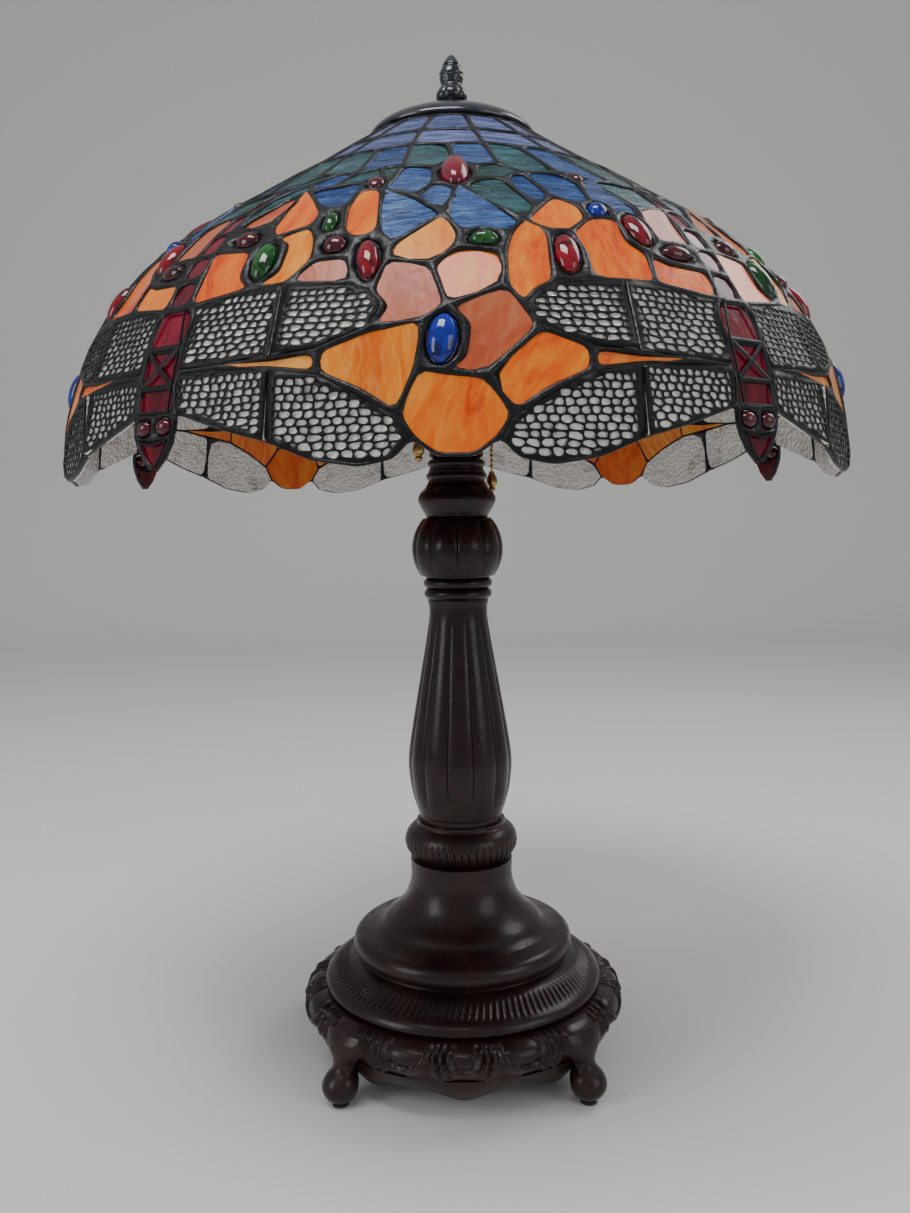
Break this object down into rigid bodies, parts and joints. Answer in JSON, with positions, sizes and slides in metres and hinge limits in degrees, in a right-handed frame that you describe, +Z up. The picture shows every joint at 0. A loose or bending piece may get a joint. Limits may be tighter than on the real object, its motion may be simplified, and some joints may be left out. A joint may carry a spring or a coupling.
{
  "type": "table lamp",
  "caption": "Table lamp with a leaded glass dome shade in a dragonfly pattern with jewels, on a dark turned stem and footed base, vented cap and finial.",
  "frame": {"origin": "centre of the base on the table top, on the lamp's axis", "axes": "+Z up along the stem, front of the lamp faces -Y, +X to its right hand side seen from the front"},
  "size_m": [0.4688, 0.4665, 0.6273],
  "materials": {
    "felt": "matte felt",
    "bronze_cast": "antique bronze, satin",
    "bronze_stem": "dark mahogany bronze, satin gloss",
    "ballast_iron": "rough",
    "cover_board": "matte black board",
    "bushing": "matte black",
    "steel": "zinc plated",
    "brass": "satin",
    "phenolic": "black moulded",
    "liner_paper": "pressed paper",
    "nickel": "nickel plated",
    "solder": "black patina, semi gloss",
    "filigree": "black patina",
    "wing_glass": "clear hammered",
    "red_glass": "dark red streaky",
    "orange_glass": "orange opalescent, streaky",
    "amber_glass": "amber opalescent, streaky",
    "salmon_glass": "salmon opalescent, streaky",
    "blue_glass": "rippled blue",
    "teal_glass": "rippled blue-green",
    "border_glass": "rippled grey-blue",
    "red_jewel": "clear red, pressed",
    "garnet_jewel": "dark red, pressed",
    "green_jewel": "clear green, pressed",
    "blue_jewel": "clear blue, pressed",
    "cabochon": "polished red",
    "cap_metal": "blue-black, glossy"
  },
  "bodies": {
    "stand": {"foot_pads": "felt", "base_casting": "bronze_cast", "ballast_disc": "ballast_iron", "base_cover": "cover_board", "cord_bushing": "bushing", "lamp_tube": "steel", "tube_nut": "brass", "tube_washer": "steel", "base_collar": "bronze_cast", "stem_vase": "bronze_stem", "stem_rings": "bronze_stem", "stem_ball": "bronze_stem", "neck_cup": "bronze_stem", "socket_cluster": "bronze_stem", "socket_shells": "brass", "socket_bases": "phenolic", "socket_liners": "liner_paper", "screw_shells": "nickel", "socket_contacts": "brass", "chain_switches": "brass", "spindle": "steel", "shade_seat": "brass"},
    "pull_right": {"pull_chain_right": "brass", "pull_knob_right": "brass"},
    "pull_left": {"pull_chain_left": "brass", "pull_knob_left": "brass"},
    "shade": {"top_ring": "brass", "lead_lines": "solder", "wing_glass": "wing_glass", "red_glass": "red_glass", "orange_glass": "orange_glass", "amber_glass": "amber_glass", "salmon_glass": "salmon_glass", "blue_glass": "blue_glass", "teal_glass": "teal_glass", "border_glass": "border_glass", "red_jewels": "red_jewel", "garnet_jewels": "garnet_jewel", "green_jewels": "green_jewel", "blue_jewels": "blue_jewel", "eye_jewels": "red_jewel", "cabochons": "cabochon", "wing_filigree": "filigree", "body_filigree": "filigree", "vented_cap": "cap_metal"},
    "finial_rider": {"finial_washer": "cap_metal"},
    "finial": {"finial": "cap_metal"}
  },
  "joints": [
    {"name": "shade_turn", "type": "hinge", "parent": "stand", "child": "shade", "pos_m": [0, 0, 0.562], "axis": [0, 0, 1], "continuous": true},
    {"name": "finial_lift", "type": "slide", "parent": "stand", "child": "finial_rider", "axis": [0, 0, 1], "range_m": [0, 0.0047]},
    {"name": "finial_turn", "type": "hinge", "parent": "finial_rider", "child": "finial", "pos_m": [0, 0, 0.6], "axis": [0, 0, 1], "range_deg": [0, 1800]},
    {"name": "pull_right", "type": "slide", "parent": "stand", "child": "pull_right", "axis": [0, 0, -1], "range_m": [0, 0.008], "stiffness_N_per_m": 100, "springref_m": -0.002},
    {"name": "pull_left", "type": "slide", "parent": "stand", "child": "pull_left", "axis": [0, 0, -1], "range_m": [0, 0.008], "stiffness_N_per_m": 100, "springref_m": -0.002}
  ],
  "couplings": [
    {"joint": "finial_turn", "follows": "finial_lift", "rad_per_m": 6684.2}
  ]
}
